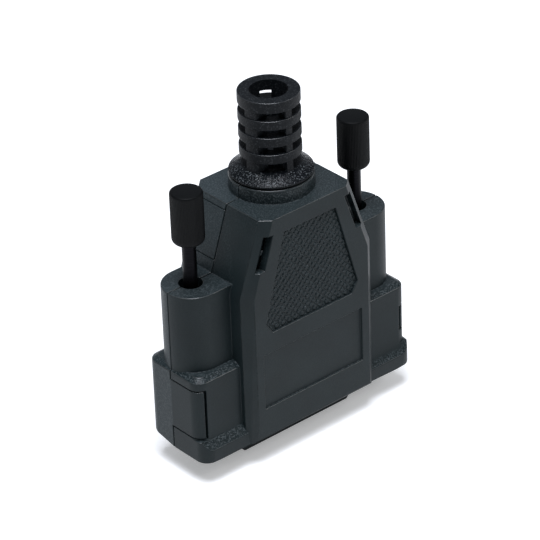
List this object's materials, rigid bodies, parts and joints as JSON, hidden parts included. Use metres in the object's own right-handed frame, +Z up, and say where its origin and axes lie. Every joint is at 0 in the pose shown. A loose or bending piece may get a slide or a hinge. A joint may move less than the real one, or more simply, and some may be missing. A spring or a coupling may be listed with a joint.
{
  "type": "d-sub hood",
  "caption": "Two-part plastic hood for a D-sub cable connector, with a slotted cable grommet, snap latches and two long captive thumbscrews.",
  "frame": {"origin": "middle of the mouth, on the plane that the ends of the mouth lips rest on", "axes": "+Z up through the cable bore, X along the line of the two screws, +Y from the front shell to the rear shell, the parting plane at Y = 0"},
  "size_m": [0.0608, 0.0242, 0.082],
  "materials": {
    "shell": "fine moulded grain, anthracite",
    "grommet": "soft black, grained flange",
    "knob": "black, straight knurl",
    "black_steel": "black oxide",
    "zinc_steel": "bright zinc"
  },
  "bodies": {
    "hood": {"front_shell": "shell", "rear_shell": "shell", "cable_grommet": "grommet", "cable_clamp": "zinc_steel", "clamp_screws": "zinc_steel"},
    "left_slide_ring": {"left_retainer": "zinc_steel"},
    "right_slide_ring": {"right_retainer": "zinc_steel"},
    "left_thumbscrew": {"left_screw": "black_steel", "left_knob": "knob"},
    "right_thumbscrew": {"right_screw": "black_steel", "right_knob": "knob"}
  },
  "joints": [
    {"name": "left_slide", "type": "slide", "parent": "hood", "child": "left_slide_ring", "axis": [0, 0, 1], "range_m": [-0.0099, 0.0005]},
    {"name": "right_slide", "type": "slide", "parent": "hood", "child": "right_slide_ring", "axis": [0, 0, 1], "range_m": [-0.0099, 0.0005]},
    {"name": "left_spin", "type": "hinge", "parent": "left_slide_ring", "child": "left_thumbscrew", "pos_m": [-0.02352, 0, 0.03], "axis": [0, 0, 1], "continuous": true},
    {"name": "right_spin", "type": "hinge", "parent": "right_slide_ring", "child": "right_thumbscrew", "pos_m": [0.02352, 0, 0.03], "axis": [0, 0, 1], "continuous": true}
  ]
}
